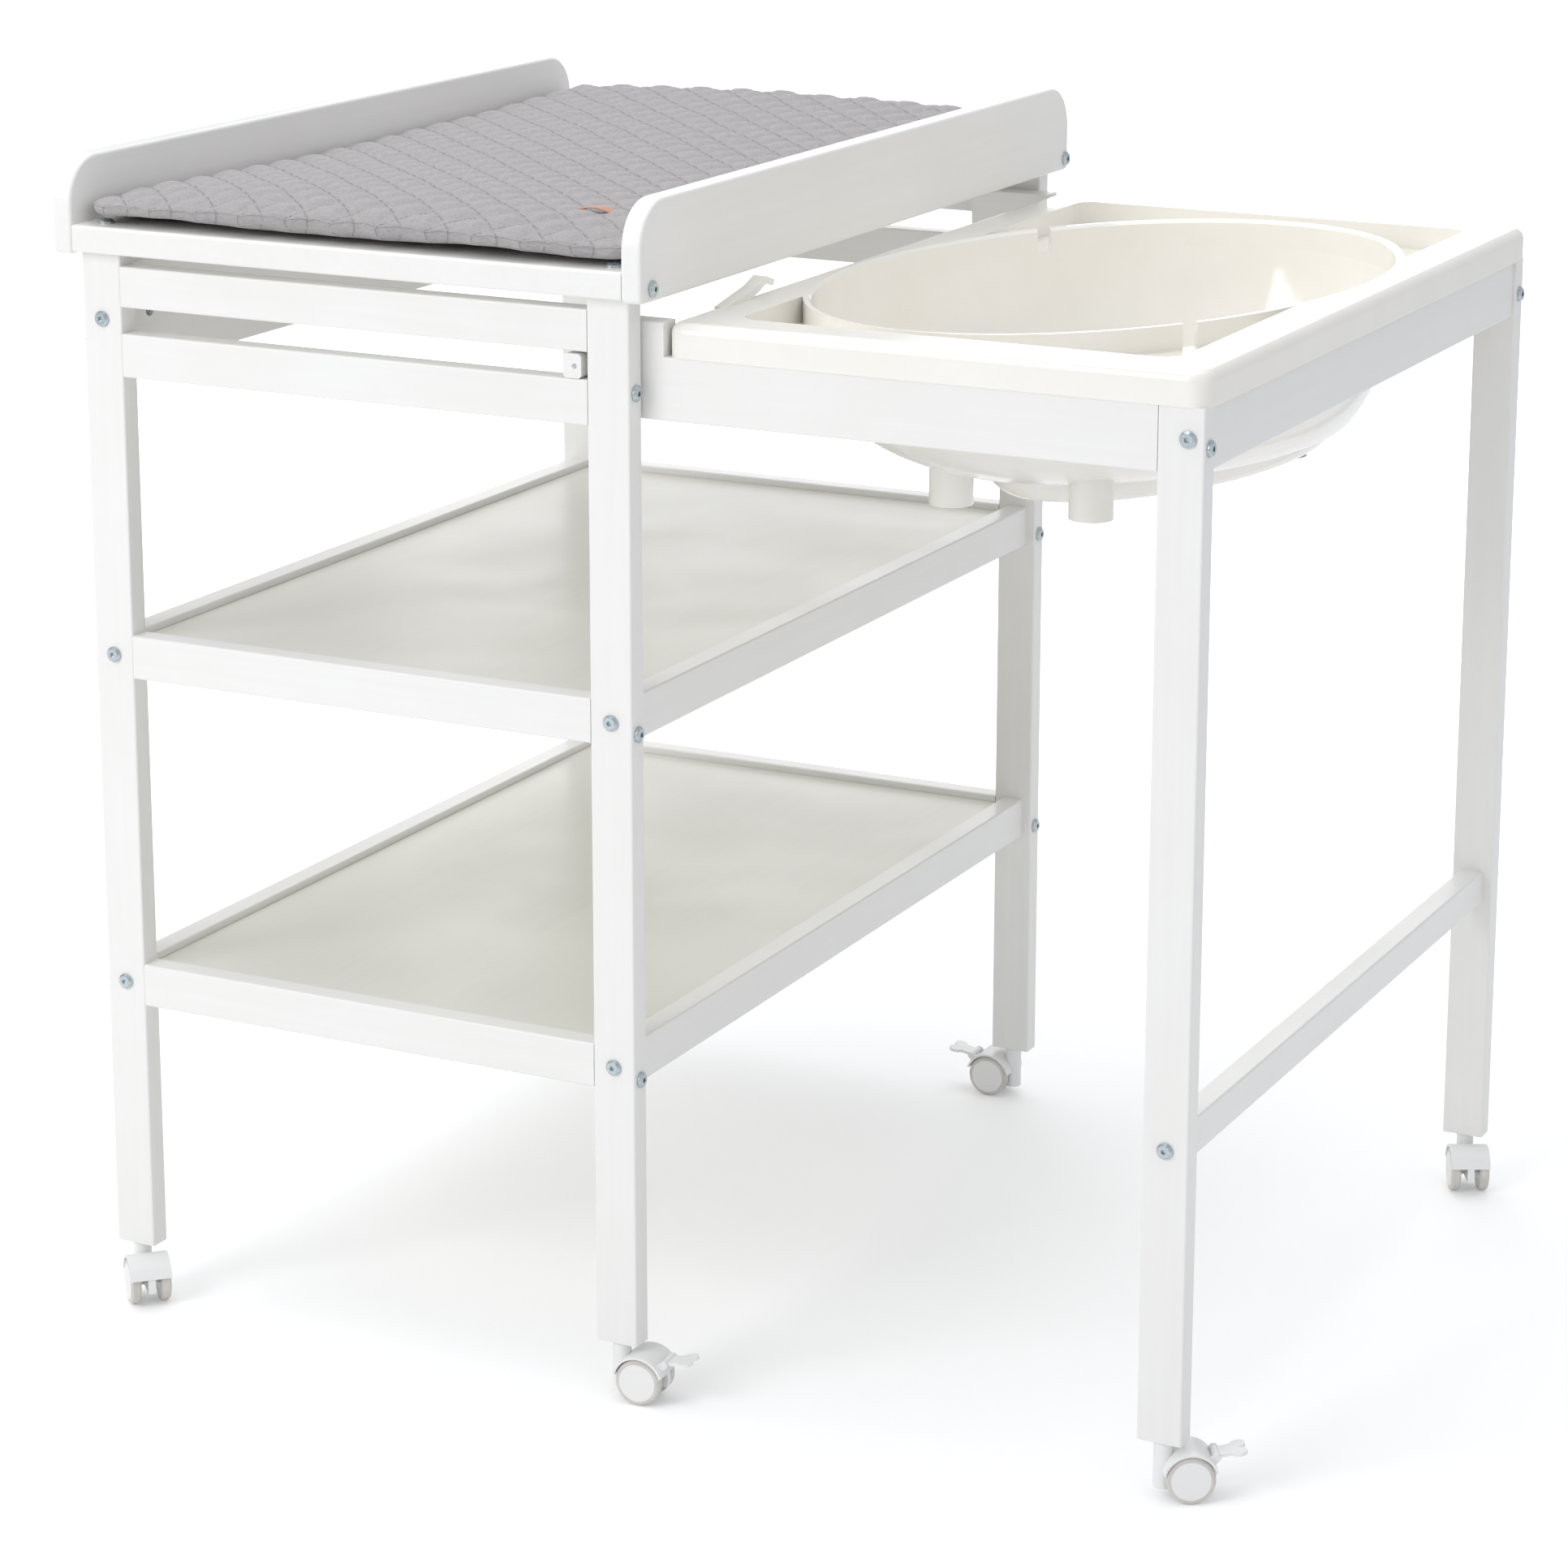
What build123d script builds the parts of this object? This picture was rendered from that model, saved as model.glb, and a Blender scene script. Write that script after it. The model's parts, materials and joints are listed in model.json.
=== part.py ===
from build123d import *
import math
import os

# Changing table with a slide-out bathtub on casters, in millimetres.
# X runs along the slide, Y across the depth and Z up from the floor.
# The stand's lengths are taken from the outer face of its left legs and the front of its front legs.

# Stand: legs and rails
leg_wide = 37.0
leg_deep = 20.0
stand_wide = 506.0
stand_deep = 801.0
leg_foot = 48.0
leg_top = 904.0
rail_thick = 20.0
edge_round = 1.8
upper_rail_low = 859.5
upper_rail_high = 893.0
lower_rail_low = 802.0
lower_rail_high = 838.0

# Changing top and side boards
top_front = -12.0
top_back = 802.0
top_thick = 22.0
board_thick = 18.0
board_front = -13.0
board_back = 804.0
board_low = 902.0
board_high = 980.0
board_corner = 38.0
board_foot_corner = 5.0
board_round = 3.0
top_round = 2.5

# Shelves
shelf_tops = (585.0, 300.5)
shelf_rail_tall = 36.5
shelf_recess = 6.5
panel_thick = 5.0
panel_tongue = 6.0
panel_play = 0.5
panel_step = 1.2

# Bolts, barrel nuts, inserts and dowels
bolt_radius = 3.0
head_radius = 6.5
head_height = 3.4
head_chamfer = 1.7
socket_width = 4.0
socket_depth = 2.2
bolt_tip = 6.0
nut_radius = 5.0
nut_length = 14.0
slot_wide = 1.4
slot_deep = 1.2
thread_play = 0.05
hole_play = 0.25
insert_radius = 4.5
insert_length = 12.0
dowel_radius = 4.0
dowel_length = 24.0
dowel_play = 0.1
dowel_inset = 9.5
side_bolt_drops = (27.0, 27.5)
front_bolt_drops = (17.5, 17.0)
lower_rail_bolt = 829.0
long_rail_bolt = 849.0
top_nut_height = 878.0
long_bolt_nut = 52.0
side_bolt_nut = 54.0
board_bolt_inset = 4.5
board_bolt_height = 912.5

# Carriage
slide_gap = 2.0
carriage_reach = 462.0
carriage_overlap = 58.0
carriage_outer = stand_wide + carriage_reach
carriage_inner = stand_wide - carriage_overlap
carriage_low = 807.0
carriage_seat = 857.0
step_gap = 18.0
rail_step = stand_wide + step_gap
ledge_inset = 8.4
ledge_gap = 22.0
ledge_start = rail_step + ledge_gap
end_rail_recess = 3.0
stretcher_low = 271.0
stretcher_high = 301.0
end_bolt = 833.5
carriage_side_bolt = 826.0
stretcher_bolt = 286.0
block_wide = 16.0
block_low = 838.3
block_high = 857.6
block_round = 3.5
block_screw_radius = 2.0

# Bathtub
rim_gap = 1.0
rim_past = 3.0
rim_left = rail_step + rim_gap
rim_right = carriage_outer + rim_past
rim_overhang = 1.2
rim_top = 884.0
rim_corner = 17.0
rim_round = 9.0
border_wide = 42.0
tub_wall = 3.0
tray_deep = 20.0
tray_corner = 16.0
basin_from_rim = 215.0
basin_x = rim_left + basin_from_rim
basin_y = 392.0
basin_turn = 10.5
basin_short = 195.0
basin_long = 315.0
basin_layers = ((23.0, 195.0, 315.0, 0.0, 0.0), (55.0, 191.0, 309.0, 0.0, 1.0), (90.0, 180.0, 291.0, 1.0, 8.0),
                (115.0, 163.0, 268.0, 3.0, 22.0), (132.0, 143.0, 246.0, 5.0, 42.0), (141.0, 127.0, 230.0, 6.5, 60.0),
                (144.0, 118.0, 222.0, 7.0, 68.0))
pan_layers = ((144.0, 104.0, 212.0, 8.0, 75.0), (155.0, 101.0, 209.0, 8.0, 75.0), (162.0, 94.0, 202.0, 8.0, 75.0),
              (165.0, 86.0, 194.0, 8.0, 75.0))
lip_thick = 7.0
lip_round = 2.5
notch_wide = 13.0
notch_x = 135.0
notch_y = 177.0
notch_reach = 34.0
foot_y = 230.0
foot_near = 68.0
foot_far = 53.0
foot_spots = ((basin_x - foot_near, foot_y), (basin_x + foot_far, foot_y))
foot_radius = 18.0
foot_low = 716.0
foot_tall = 70.0
hook_wide = 11.0
hook_gap = 1.5
hook_left = rim_left + hook_gap
hook_outline = ((101.0, 0.0), (128.0, 5.0), (150.0, 9.0), (168.0, 15.0), (183.0, 10.0), (181.0, 5.5), (169.0, 9.0),
                (155.0, 3.5), (140.0, 0.0))
hook_root = 2.0

# Drain
drain_across = 54.0
drain_along = 190.0
drain_neck = 15.0
drain_bore = 12.0
drain_flange = 20.0
drain_drop = 9.0
drain_rim = 1.8
drain_rim_radius = 17.5
plug_stem = 11.6
plug_head = 15.0
plug_head_tall = 3.0
plug_stem_tall = 8.0
plug_knob = 3.5
plug_knob_tall = 9.0
seat_gap = 0.1

# Changing pad and its tag
pad_gap = 2.5
pad_left = pad_gap
pad_right = stand_wide - pad_gap
pad_stations = (-7.0, 18.0, 60.0, 105.0, 150.0, 195.0, 240.0, 285.0, 330.0, 375.0, 420.0, 465.0, 510.0, 555.0, 600.0,
                645.0, 690.0, 735.0, 775.0, 797.0)
pad_tops = (8.0, 20.0, 23.5, 23.0, 21.5, 20.5, 20.0, 19.5, 19.5, 20.0, 20.5, 21.0, 21.5, 22.5, 23.5, 25.0, 27.0, 29.0, 29.0,
            20.0)
pad_bottoms = (5.5, 3.9, 0.3, 0.3, 0.3, 0.3, 0.3, 0.3, 0.3, 0.3, 0.3, 0.3, 0.3, 0.3, 0.3, 0.3, 0.3, 0.3, 3.9, 9.0)
pad_crown = 9.0
pad_channel = 2.6
pad_side = 7.0
pad_end_side = 16.0
pad_columns = 12
tag_left = 412.0
tag_long = 35.0
tag_front = 86.0
tag_wide = 12.0
tag_thick = 1.2

# Casters
wheel_radius = 19.25
wheel_inner = 8.5
wheel_outer = 17.0
cover_radius = 15.5
cover_proud = 0.5
wheel_round = 1.5
axle_radius = 2.5
axle_play = 0.06
caster_trail = 20.0
web_half = 3.0
boss_radius = 6.0
hood_gap = 1.1
hood_thick = 1.9
hood_half = 17.5
hood_from = 18.0
hood_to = 168.0
stem_radius = 4.0
stem_tall = 28.0
stem_play = 0.06
housing_radius = 7.5
housing_low = 9.0
collar_gap = 0.1
socket_radius = 5.5
socket_flange = 8.5
socket_flange_thick = 2.0
pivot_angle = 38.0
pivot_reach = 26.0
pivot_radius = 1.5
pivot_play = 0.06
lever_hub = 3.0
lever_half = 8.0
lug_thick = 2.4
lug_gap = 0.3
lug_radius = 3.2
lever_reach = 18.0
lever_rise = 10.0
lever_thick = 2.6
lobe_radius = 6.2
lobe_spread = 6.5

# Stem place, way the wheels trail from +X, and whether a brake lever is fitted
caster_plan = {
    "front_left": ("stand", "left", "front", -45.0, False),
    "front_right": ("stand", "right", "front", 5.0, True),
    "back_left": ("stand", "left", "back", 120.0, False),
    "back_right": ("stand", "right", "back", 180.0, True),
    "carriage_front": ("carriage", "right", "front", 30.0, True),
    "carriage_back": ("carriage", "right", "back", -63.0, False),
}

overrun = 1.0

leg_centre_left = leg_wide / 2
leg_centre_right = stand_wide - leg_wide / 2
leg_centre_front = leg_deep / 2
leg_centre_back = stand_deep - leg_deep / 2
top_high = leg_top + top_thick
side_rail_inset = (leg_wide - rail_thick) / 2
carriage_front = leg_deep + slide_gap
carriage_back = stand_deep - leg_deep - slide_gap
carriage_centre = carriage_outer - leg_wide / 2
carriage_leg_inner = carriage_outer - leg_wide
end_rail_outer = carriage_outer - end_rail_recess
end_rail_inner = end_rail_outer - rail_thick
rim_front = carriage_front - rim_overhang
rim_back = carriage_back + rim_overhang
rim_under = rim_top - tub_wall
tray_floor = rim_top - tray_deep

parts = {}


def block(low, high):
    # A box between two corner points
    size = [b - a for a, b in zip(low, high)]
    middle = [(a + b) / 2 for a, b in zip(low, high)]
    return Pos(*middle) * Box(*size)


def bar(low, high, along):
    # A wooden bar whose edges along its length are rounded
    solid = block(low, high)
    return fillet(solid.edges().filter_by(along), edge_round)


def rod(start, direction, radius, length):
    # A round rod from a point, along a direction
    plane = Plane(origin=start, z_dir=direction)
    return plane * Cylinder(radius, length, align=(Align.CENTER, Align.CENTER, Align.MIN))


def moved(point, direction, distance):
    # The point that lies a distance along a direction
    return tuple(p + d * distance for p, d in zip(point, direction))


def reverse(direction):
    # The opposite direction
    return tuple(-d for d in direction)


def bolt(head_at, inward, length):
    # A button-head bolt with a hexagon socket
    plane = Plane(origin=head_at, z_dir=reverse(inward))
    head = Cylinder(head_radius, head_height, align=(Align.CENTER, Align.CENTER, Align.MIN))
    head = chamfer(head.edges().group_by(Axis.Z)[-1], head_chamfer)
    hexagon = extrude(RegularPolygon(socket_width / 2, 6, major_radius=False), socket_depth + overrun)
    head = head - Pos(0, 0, head_height - socket_depth) * hexagon
    return plane * head + rod(head_at, inward, bolt_radius, length)


def barrel_nut(centre, out, bolt_way):
    # A cross dowel with a bore for the bolt and a driver slot in its open end
    start = moved(centre, out, -nut_length / 2)
    nut = rod(start, out, nut_radius, nut_length)
    bore_start = moved(centre, bolt_way, -nut_radius - overrun)
    nut = nut - rod(bore_start, bolt_way, bolt_radius + thread_play, 2 * (nut_radius + overrun))
    end = Plane(origin=moved(centre, out, nut_length / 2), z_dir=out, x_dir=bolt_way)
    slot = Box(slot_wide, 2 * (nut_radius + overrun), 2 * slot_deep)
    return nut - end * slot


def cross_joint(head_at, inward, nut_distance, out):
    # A bolt into a barrel nut, with the holes that both need
    centre = moved(head_at, inward, nut_distance)
    length = nut_distance + bolt_tip
    hole = rod(moved(head_at, inward, -overrun), inward, bolt_radius + hole_play, length + 2 * overrun)
    nut_start = moved(centre, out, -nut_length / 2)
    nut_hole = rod(nut_start, out, nut_radius + hole_play, nut_length / 2 + rail_thick / 2 + overrun)
    return bolt(head_at, inward, length), barrel_nut(centre, out, inward), [with_box(hole), with_box(nut_hole)]


def insert_joint(head_at, inward, insert_distance):
    # A bolt into a threaded insert that lies on the bolt's own axis
    start = moved(head_at, inward, insert_distance)
    insert = rod(start, inward, insert_radius, insert_length)
    insert = insert - rod(moved(start, inward, -overrun), inward, bolt_radius + thread_play, insert_length + 2 * overrun)
    length = insert_distance + insert_length
    hole = rod(moved(head_at, inward, -overrun), inward, bolt_radius + hole_play, length + 2 * overrun)
    insert_hole = rod(start, inward, insert_radius + dowel_play, insert_length + overrun)
    return bolt(head_at, inward, length), insert, [with_box(hole), with_box(insert_hole)]


def dowel_joint(middle, way):
    # A wooden dowel across a joint face, with its hole
    dowel = rod(moved(middle, way, -dowel_length / 2), way, dowel_radius, dowel_length)
    hole_length = dowel_length + 2 * overrun
    hole = rod(moved(middle, way, -hole_length / 2), way, dowel_radius + dowel_play, hole_length)
    return dowel, with_box(hole)


def with_box(solid):
    # A cutter with its bounding box, measured once
    return solid, solid.bounding_box()


def boxes_meet(a, b):
    # Whether two bounding boxes meet
    apart = (a.max.X < b.min.X, b.max.X < a.min.X, a.max.Y < b.min.Y, b.max.Y < a.min.Y, a.max.Z < b.min.Z,
             b.max.Z < a.min.Z)
    return not any(apart)


def drilled(solid, cutters):
    # The solid less each cutter that reaches it
    own = solid.bounding_box()
    near = [cutter for cutter, box in cutters if boxes_meet(own, box)]
    if not near:
        return solid
    return solid - near


def stand_joints():
    # Every bolt, nut, insert and dowel of the stand, and all their holes
    bolts, nuts, dowels, cutters = [], [], [], []
    sides = ((0.0, 1, leg_centre_left), (stand_wide, -1, leg_centre_right))
    ends = ((0.0, 1, leg_centre_front), (stand_deep, -1, leg_centre_back))
    for x_face, x_way, x_centre in sides:
        for y_face, y_way, y_centre in ends:
            shelf_sides = [top - drop for top, drop in zip(shelf_tops, side_bolt_drops)]
            shelf_fronts = [top - drop for top, drop in zip(shelf_tops, front_bolt_drops)]
            for z in [lower_rail_bolt] + shelf_sides:
                made = cross_joint((x_face, y_centre, z), (x_way, 0, 0), side_bolt_nut, (0, y_way, 0))
                bolts.append(made[0])
                nuts.append(made[1])
                cutters += made[2]
            heights = shelf_fronts + ([long_rail_bolt] if x_way > 0 else [])
            for z in heights:
                made = cross_joint((x_centre, y_face, z), (0, y_way, 0), long_bolt_nut, (x_way, 0, 0))
                bolts.append(made[0])
                nuts.append(made[1])
                cutters += made[2]
            made = cross_joint((x_centre, y_centre, top_high), (0, 0, -1), top_high - top_nut_height, (0, y_way, 0))
            bolts.append(made[0])
            nuts.append(made[1])
            cutters += made[2]
            bolt_y = y_face + y_way * board_bolt_inset
            made = insert_joint((x_face - x_way * board_thick, bolt_y, board_bolt_height), (x_way, 0, 0), board_thick)
            bolts.append(made[0])
            nuts.append(made[1])
            cutters += made[2]
            joint_x = x_face + x_way * leg_wide
            for z in (upper_rail_low + dowel_inset, upper_rail_high - dowel_inset):
                dowel, hole = dowel_joint((joint_x, y_centre, z), (1, 0, 0))
                dowels.append(dowel)
                cutters.append(hole)
    return bolts, nuts, dowels, cutters


def socket_pair(x, y):
    # A caster socket for a leg's foot, and the hole that it fills
    socket = rod((x, y, leg_foot), (0, 0, 1), socket_radius, stem_tall)
    socket = socket + rod((x, y, leg_foot - socket_flange_thick), (0, 0, 1), socket_flange, socket_flange_thick)
    low = leg_foot - socket_flange_thick - overrun
    socket = socket - rod((x, y, low), (0, 0, 1), stem_radius + stem_play, stem_tall + leg_foot - low + overrun)
    hole = rod((x, y, low), (0, 0, 1), socket_radius + dowel_play, stem_tall + leg_foot - low + overrun)
    return socket, with_box(hole)


def leg(x, y, low, high, cutters):
    # One leg, drilled
    solid = bar((x, y, low), (x + leg_wide, y + leg_deep, high), Axis.Z)
    return drilled(solid, cutters)


def shelf(name, top, cutters):
    # Four rails round a panel that sits in their grooves
    low = top - shelf_rail_tall
    panel_top = top - shelf_recess
    panel_low = panel_top - panel_thick
    tongue_top = panel_top - panel_step
    groove_low = panel_low - dowel_play
    groove_high = tongue_top + dowel_play
    left_face = side_rail_inset + rail_thick
    right_face = stand_wide - side_rail_inset - rail_thick
    deep = panel_tongue + panel_play
    rails = {
        "front": ((leg_wide, 0, low), (stand_wide - leg_wide, rail_thick, top), Axis.X),
        "back": ((leg_wide, stand_deep - rail_thick, low), (stand_wide - leg_wide, stand_deep, top), Axis.X),
        "left": ((side_rail_inset, leg_deep, low), (left_face, stand_deep - leg_deep, top), Axis.Y),
        "right": ((right_face, leg_deep, low), (right_face + rail_thick, stand_deep - leg_deep, top), Axis.Y),
    }
    groove = block((left_face - deep, leg_deep - deep, groove_low),
                   (right_face + deep, stand_deep - leg_deep + deep, groove_high))
    for side, (start, end, along) in rails.items():
        parts[f"{name}_shelf_rail_{side}"] = drilled(bar(start, end, along) - groove, cutters)
    wide = block((left_face - panel_tongue, leg_deep + panel_play, panel_low),
                 (right_face + panel_tongue, stand_deep - leg_deep - panel_play, tongue_top))
    long = block((leg_wide + panel_play, leg_deep - panel_tongue, panel_low),
                 (stand_wide - leg_wide - panel_play, stand_deep - leg_deep + panel_tongue, tongue_top))
    field = block((left_face + panel_play, leg_deep + panel_play, panel_low),
                  (right_face - panel_play, stand_deep - leg_deep - panel_play, panel_top))
    parts[f"{name}_shelf_panel"] = wide + long + field


def side_board(x, cutters):
    # One raised side board with rounded corners
    solid = block((x, board_front, board_low), (x + board_thick, board_back, board_high))
    lying = solid.edges().filter_by(Axis.X)
    solid = fillet(lying.group_by(Axis.Z)[-1], board_corner)
    lying = solid.edges().filter_by(Axis.X)
    solid = fillet(lying.group_by(Axis.Z)[0], board_foot_corner)
    faces = solid.faces().filter_by(Axis.X)
    solid = fillet(faces.edges(), board_round)
    return drilled(solid, cutters)


def stand():
    # The fixed stand
    bolts, nuts, dowels, cutters = stand_joints()
    sockets = []
    feet = {}
    for name, (frame, side, end, angle, braked) in caster_plan.items():
        if frame == "stand":
            socket, hole = socket_pair(*stem_place(frame, side, end))
            sockets.append(socket)
            cutters.append(hole)
            feet[name] = stem_place(frame, side, end)
    for name, (x, y) in feet.items():
        parts[f"leg_{name}"] = leg(x - leg_wide / 2, y - leg_deep / 2, leg_foot, leg_top, cutters)
    for end, y in (("front", 0.0), ("back", stand_deep - rail_thick)):
        for level, low, high in (("upper", upper_rail_low, upper_rail_high), ("lower", lower_rail_low, lower_rail_high)):
            solid = bar((leg_wide, y, low), (stand_wide - leg_wide, y + rail_thick, high), Axis.X)
            parts[f"{level}_end_rail_{end}"] = drilled(solid, cutters)
    long_rail = bar((side_rail_inset, leg_deep, lower_rail_low),
                    (side_rail_inset + rail_thick, stand_deep - leg_deep, upper_rail_high), Axis.Y)
    parts["long_rail_left"] = drilled(long_rail, cutters)
    top = block((0, top_front, leg_top), (stand_wide, top_back, top_high))
    top = fillet(top.edges().filter_by(Axis.X), top_round)
    parts["changing_top"] = drilled(top, cutters)
    parts["side_board_left"] = side_board(-board_thick, cutters)
    parts["side_board_right"] = side_board(stand_wide, cutters)
    for name, top_z in zip(("upper", "lower"), shelf_tops):
        shelf(name, top_z, cutters)
    parts["stand_bolts"] = Compound(bolts)
    parts["stand_nuts"] = Compound(nuts)
    parts["stand_dowels"] = Compound(dowels)
    parts["stand_caster_sockets"] = Compound(sockets)


def stem_place(frame, side, end):
    # Where a caster's stem stands in plan
    if frame == "stand":
        x = leg_centre_left if side == "left" else leg_centre_right
        y = leg_centre_front if end == "front" else leg_centre_back
        return x, y
    y = carriage_front + leg_deep / 2 if end == "front" else carriage_back - leg_deep / 2
    return carriage_centre, y


def carriage():
    # The slide-out frame that carries the tub
    bolts, nuts, cutters, sockets = [], [], [], []
    end_centre = (end_rail_inner + end_rail_outer) / 2
    for end, outer, way in (("front", carriage_front, 1), ("back", carriage_back, -1)):
        middle = outer + way * leg_deep / 2
        side_distance = side_bolt_nut
        made = [
            cross_joint((carriage_outer, middle, carriage_side_bolt), (-1, 0, 0), side_distance, (0, way, 0)),
            cross_joint((end_centre, outer, end_bolt), (0, way, 0), long_bolt_nut, (-1, 0, 0)),
            cross_joint((carriage_centre, outer, stretcher_bolt), (0, way, 0), long_bolt_nut, (-1, 0, 0)),
        ]
        bolts += [joint[0] for joint in made]
        nuts += [joint[1] for joint in made]
        for joint in made:
            cutters += joint[2]
        socket, hole = socket_pair(carriage_centre, middle)
        sockets.append(socket)
        cutters.append(hole)
        screw_x = carriage_inner + block_wide / 2 + block_screw_radius
        screw_z = (block_low + block_high) / 2
        screw = rod((screw_x, outer - way * (leg_deep + slide_gap), screw_z), (0, way, 0), block_screw_radius,
                    leg_deep + slide_gap + rail_thick / 2)
        bolts.append(screw)
        screw_hole = rod((screw_x, outer - way * (leg_deep + slide_gap + overrun), screw_z), (0, way, 0),
                         block_screw_radius + dowel_play, leg_deep + slide_gap + rail_thick / 2 + 2 * overrun)
        cutters.append(with_box(screw_hole))
    for end, outer, way in (("front", carriage_front, 1), ("back", carriage_back, -1)):
        near = min(outer, outer + way * leg_deep)
        parts[f"carriage_leg_{end}"] = leg(carriage_leg_inner, near, leg_foot, carriage_seat, cutters)
        rail = bar((carriage_inner, near, carriage_low), (carriage_leg_inner, near + rail_thick, rim_top), Axis.X)
        step = block((rail_step, near - overrun, carriage_seat),
                     (carriage_leg_inner + overrun, near + rail_thick + overrun, rim_top + overrun))
        ledge_low = outer + way * ledge_inset
        ledge_high = outer + way * rail_thick
        ledge = block((ledge_start, min(ledge_low, ledge_high), carriage_seat),
                      (carriage_leg_inner, max(ledge_low, ledge_high), rim_under - seat_gap))
        parts[f"carriage_rail_{end}"] = drilled(rail - step + ledge, cutters)
        stand_face = outer - way * (leg_deep + slide_gap)
        guide = block((carriage_inner, min(stand_face, outer), block_low),
                      (carriage_inner + block_wide, max(stand_face, outer), block_high))
        guide = fillet(guide.edges().filter_by(Axis.Y), block_round)
        parts[f"guide_block_{end}"] = drilled(guide, cutters)
    between = (carriage_front + leg_deep, carriage_back - leg_deep)
    end_rail = bar((end_rail_inner, between[0], carriage_low), (end_rail_outer, between[1], carriage_seat), Axis.Y)
    parts["carriage_end_rail"] = drilled(end_rail, cutters)
    stretcher = bar((carriage_centre - rail_thick / 2, between[0], stretcher_low),
                    (carriage_centre + rail_thick / 2, between[1], stretcher_high), Axis.Y)
    parts["carriage_stretcher"] = drilled(stretcher, cutters)
    parts["carriage_bolts"] = Compound(bolts)
    parts["carriage_nuts"] = Compound(nuts)
    parts["carriage_caster_sockets"] = Compound(sockets)


def rim_prism(inset, corner, low, high):
    # A rounded rectangle in from the rim's outline, between two heights
    wide = rim_right - rim_left - 2 * inset
    deep = rim_back - rim_front - 2 * inset
    outline = RectangleRounded(wide, deep, corner)
    middle = Pos((rim_left + rim_right) / 2, (rim_front + rim_back) / 2, low)
    return middle * extrude(outline, high - low)


def in_basin(across, along):
    # A point given across and along the turned basin, in plan
    turn = math.radians(basin_turn)
    x = basin_x + across * math.cos(turn) + along * math.sin(turn)
    y = basin_y - across * math.sin(turn) + along * math.cos(turn)
    return x, y


def bowl(layers, grow, start):
    # A smooth bowl through the layers' ellipses, grown all round, with its first ellipse at a height
    sections = []
    for depth, short, long, across, along in layers:
        x, y = in_basin(across, along)
        height = start if not sections else rim_top - depth - grow
        sections.append(Pos(x, y, height) * Rot(0, 0, -basin_turn) * Ellipse(short + grow, long + grow))
    return loft(sections)


def oval(layer, grow, low, high):
    # An upright prism on one layer's ellipse, made wider all round
    depth, short, long, across, along = layer
    x, y = in_basin(across, along)
    return Pos(x, y, low) * Rot(0, 0, -basin_turn) * extrude(Ellipse(short + grow, long + grow), high - low)


def deck():
    # The tub's rim with its skirt, the corner trays and the lip round the basin
    rim = rim_prism(0, rim_corner, carriage_seat, rim_top)
    rim = fillet(rim.faces().sort_by(Axis.Z)[-1].edges(), rim_round)
    inside = rim_prism(tub_wall, rim_corner - tub_wall, carriage_seat - overrun, rim_under)
    inside = fillet(inside.faces().sort_by(Axis.Z)[-1].edges(), rim_round - tub_wall)
    edge = basin_layers[0]
    tray_low = tray_floor - tub_wall
    tray = rim_prism(border_wide - tub_wall, tray_corner + tub_wall, tray_low, rim_under)
    body = (rim - inside) + tray + oval(edge, lip_thick, tray_low, rim_top)
    recess = rim_prism(border_wide, tray_corner, tray_floor, rim_top + overrun)
    recess = recess - oval(edge, lip_thick, tray_floor - overrun, rim_top + 2 * overrun)
    body = body - recess - oval(edge, 0, tray_low - overrun, rim_top + overrun)
    throat = Pos(basin_x, basin_y, rim_top - lip_round) * Rot(0, 0, -basin_turn) * Ellipse(edge[1], edge[2])
    mouth = Pos(basin_x, basin_y, rim_top) * Rot(0, 0, -basin_turn) * Ellipse(edge[1] + lip_round, edge[2] + lip_round)
    body = body - loft([throat, mouth])
    reach = math.hypot(notch_x, notch_y)
    notch_angle = math.degrees(math.atan2(-notch_y, notch_x))
    for half_turn in (0, 180):
        notch = Box(notch_reach, notch_wide, 2 * tray_deep)
        body = body - Pos(basin_x, basin_y, rim_top) * Rot(0, 0, notch_angle + half_turn) * Pos(reach, 0, 0) * notch
    return body


def basin():
    # The basin under the deck, with its lower pan, feet and drain hole
    tray_low = tray_floor - tub_wall
    hollow = bowl(basin_layers, 0, tray_low)
    body = bowl(basin_layers, tub_wall, tray_low) - hollow
    pan_edge = pan_layers[0]
    step = rim_top - pan_edge[0]
    for x, y in foot_spots:
        foot = rod((x, y, foot_low), (0, 0, 1), foot_radius, foot_tall)
        body = body + (foot - hollow)
    body = body - oval(pan_edge, 0, step - tub_wall - overrun, step + overrun)
    pan = bowl(pan_layers, tub_wall, step - tub_wall) - bowl(pan_layers, 0, step - tub_wall)
    body = body + pan
    x, y = in_basin(drain_across, drain_along)
    low = rim_top - pan_layers[-1][0] - tub_wall - overrun
    return body - rod((x, y, low), (0, 0, 1), drain_neck + dowel_play, tub_wall + 2 * overrun)


def bathtub():
    # The moulded tub with its hook
    outline = Polyline(*[(0, y, z) for y, z in hook_points()], close=True)
    hook = Pos(hook_left, 0, 0) * extrude(make_face(outline), hook_wide, dir=(1, 0, 0))
    return deck() + basin() + hook


def hook_points():
    # The hook's side outline, standing on the rim
    points = [(y, rim_top + up) for y, up in hook_outline]
    front = points[0][0]
    back = points[-1][0]
    return points + [(back, rim_top - hook_root), (front, rim_top - hook_root)]


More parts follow.
